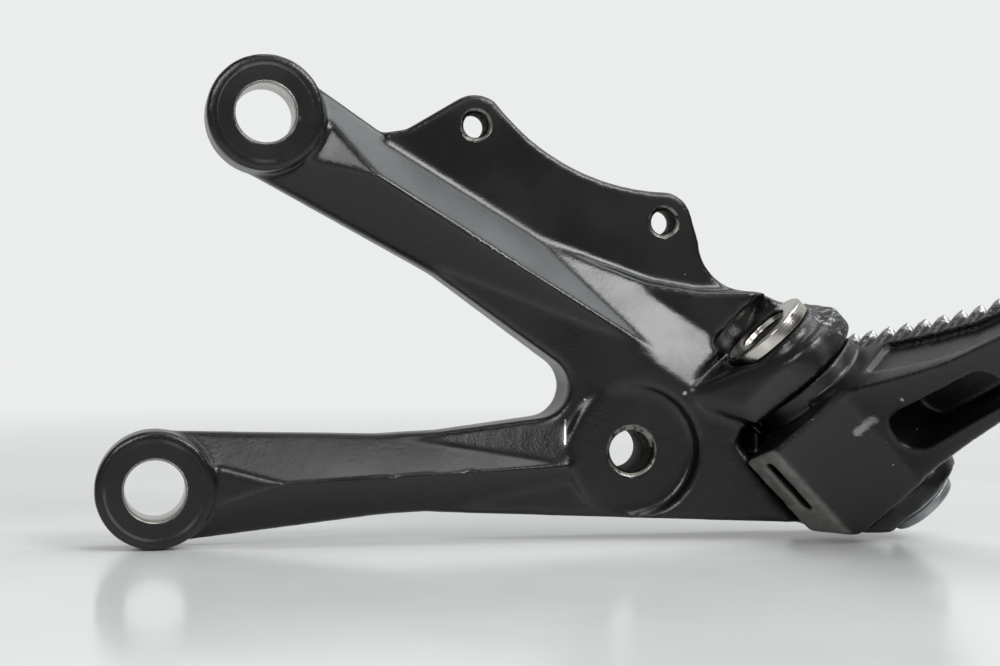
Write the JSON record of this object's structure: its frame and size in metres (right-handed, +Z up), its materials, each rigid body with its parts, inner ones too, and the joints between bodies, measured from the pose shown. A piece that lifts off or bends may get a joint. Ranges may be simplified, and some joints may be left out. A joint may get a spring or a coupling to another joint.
{
  "type": "motorcycle footrest bracket",
  "caption": "Cast footrest bracket with mounting eyes on two arms, a threaded pivot boss, a drilled guard lug and a folding sprung footpeg on a slanted hinge.",
  "frame": {"origin": "centre of the lower mounting eye at its outer face", "axes": "+X from the lower eye towards the hinge, +Y through the eyes to the side that bolts on, +Z up"},
  "size_m": [0.188, 0.0917, 0.0986],
  "materials": {
    "cast_black": "satin black paint on a casting, bare metal in the eye bores and on worn edges",
    "bright_steel": "turned bright",
    "zinc_grey": "dull zinc plating",
    "spring_steel": "dark drawn wire"
  },
  "bodies": {
    "bracket": {"bracket": "cast_black", "hinge_pin": "bright_steel", "pin_washer": "zinc_grey", "retaining_cap": "zinc_grey"},
    "footpeg": {"footpeg": "cast_black", "return_spring": "spring_steel"}
  },
  "joints": [
    {"name": "peg_fold", "type": "hinge", "parent": "bracket", "child": "footpeg", "pos_m": [0.127, -0.0051, 0.0287], "axis": [-0.6811, 0.0523, 0.7304], "range_deg": [0, 70], "stiffness_Nm_per_rad": 0.12, "springref_deg": -40.11}
  ]
}
